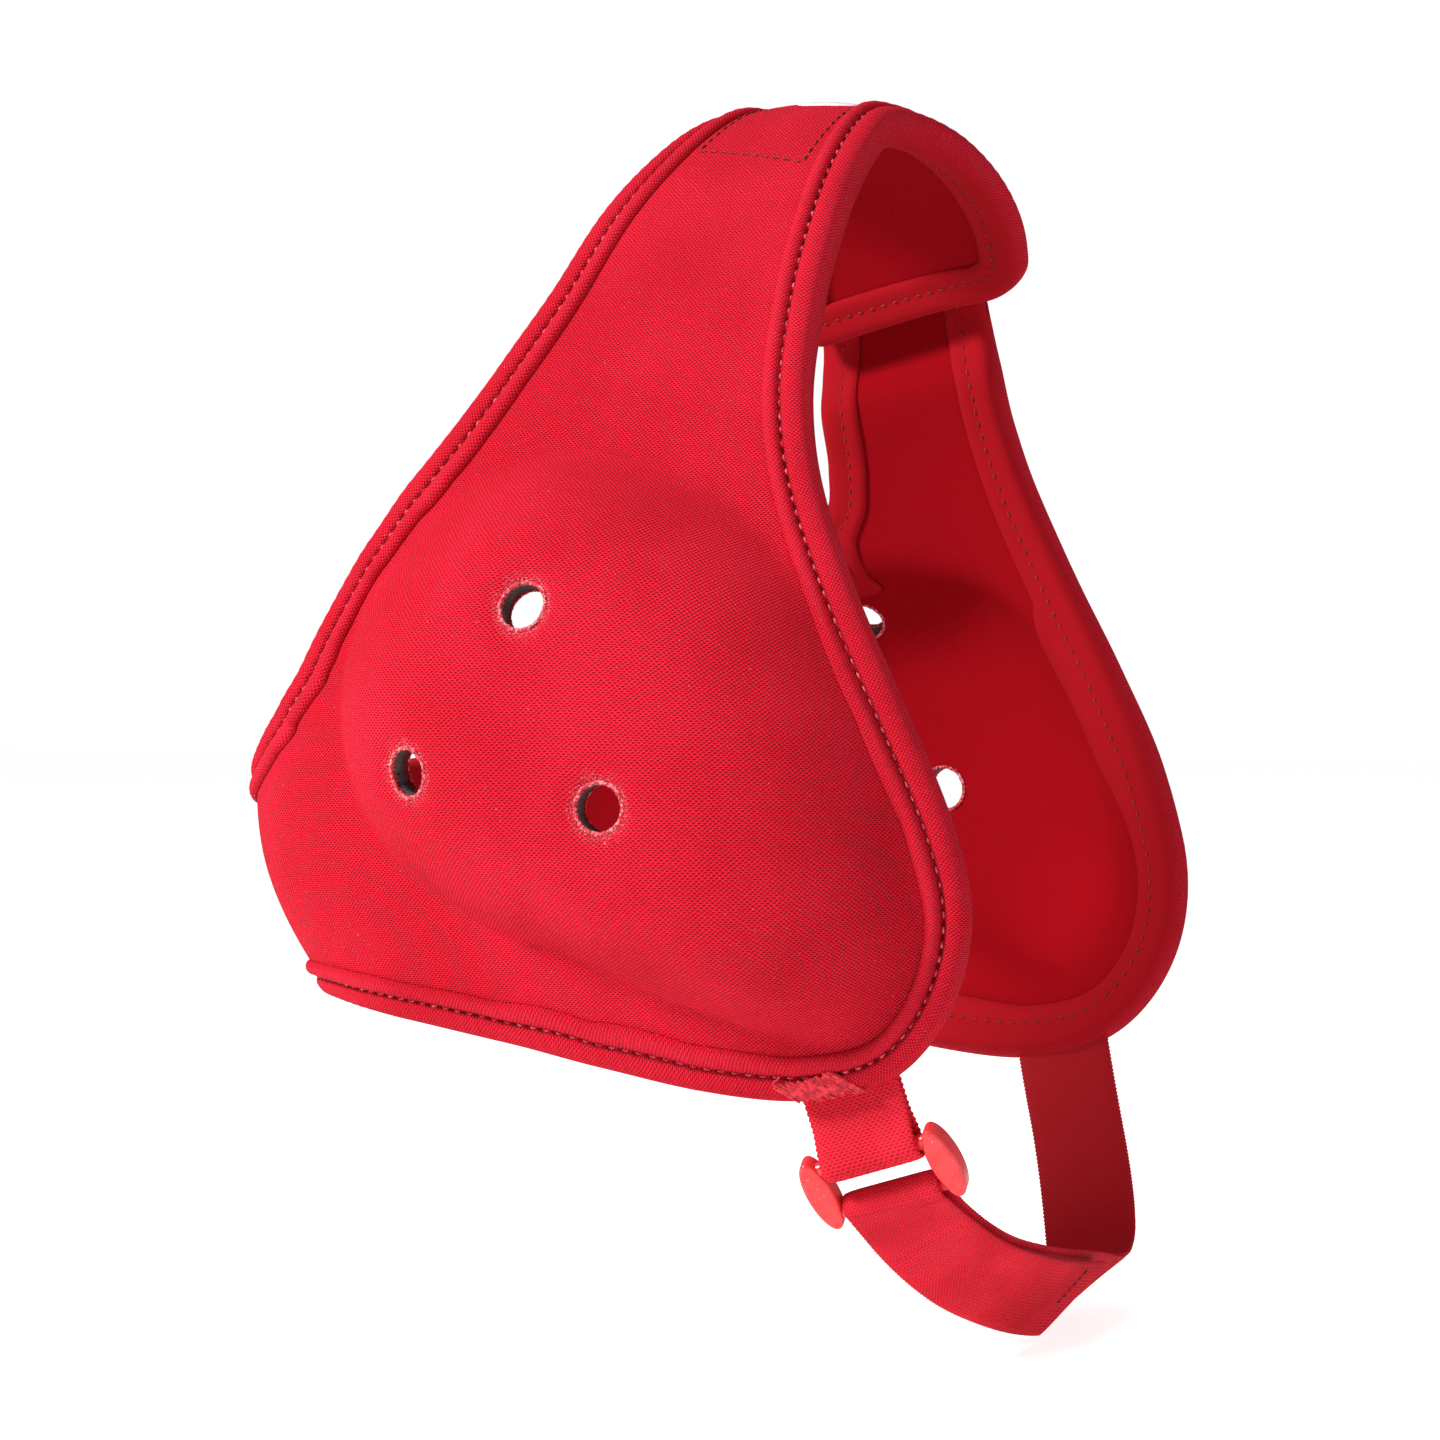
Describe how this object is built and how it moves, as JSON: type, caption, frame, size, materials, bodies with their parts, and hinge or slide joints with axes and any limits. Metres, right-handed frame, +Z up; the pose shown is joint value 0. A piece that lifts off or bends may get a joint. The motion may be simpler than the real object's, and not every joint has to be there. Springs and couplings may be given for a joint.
{
  "type": "soft water helmet",
  "caption": "Soft padded ear-guard headgear for water sports: moulded ear cups with vents, a crown strap, a nape band and an adjustable chin strap with a plastic ring.",
  "frame": {"origin": "midway between the two ear cups, where the wearer's ear axis crosses the middle of the head", "axes": "+Z up towards the crown, the wearer faces -Y, the wearer's right ear is at -X"},
  "size_m": [0.1926, 0.189, 0.2664],
  "materials": {
    "red_knit": "matte knitted outer cloth",
    "dark_lining": "smooth dark red lining cloth",
    "red_tape": "folded bias tape",
    "grey_foam": "closed-cell EVA foam",
    "red_webbing": "ribbed polyester webbing",
    "red_plastic": "moulded glossy plastic",
    "white_print": "heat-transfer print",
    "hook_loop": "hook-and-loop tape",
    "red_thread": "sewing thread"
  },
  "bodies": {
    "headgear": {"right_cover": "red_knit", "right_foam": "grey_foam", "right_lining": "dark_lining", "right_front_binding": "red_tape", "right_rear_binding": "red_tape", "crown_end_binding": "red_tape", "crown_print": "white_print", "crown_loop_patch": "hook_loop", "left_cover": "red_knit", "left_foam": "grey_foam", "left_lining": "dark_lining", "left_front_binding": "red_tape", "left_rear_binding": "red_tape", "nape_seam_tape": "red_tape", "keeper_webbing": "red_webbing", "chin_strap": "red_webbing", "strap_loop_patch": "hook_loop", "right_bartack": "red_thread", "left_bartack": "red_thread"},
    "crown_tab": {"tab_cover": "red_knit", "tab_foam": "grey_foam", "tab_lining": "dark_lining", "tab_front_binding": "red_tape", "tab_rear_binding": "red_tape", "tab_end_binding": "red_tape", "tab_hook_patch": "hook_loop"},
    "chin_ring": {"chin_ring": "red_plastic"},
    "strap_tail": {"strap_tail": "red_webbing", "tail_hook_patch": "hook_loop"}
  },
  "joints": [
    {"name": "crown_tab_peel", "type": "hinge", "parent": "headgear", "child": "crown_tab", "pos_m": [0.05818, -0.00481, 0.08416], "axis": [0.1078, 0.9741, -0.1988], "range_deg": [0, 60]},
    {"name": "ring_swing", "type": "hinge", "parent": "headgear", "child": "chin_ring", "pos_m": [-0.05945, -0.04401, -0.07996], "axis": [0, -0.9585, 0.2851], "range_deg": [-10, 10], "deforming": ["chin_strap", "strap_loop_patch"]},
    {"name": "tail_peel", "type": "hinge", "parent": "headgear", "child": "strap_tail", "pos_m": [-0.04714, -0.05103, -0.09865], "axis": [0.0163, 0.8916, -0.4525], "range_deg": [0, 75]}
  ]
}
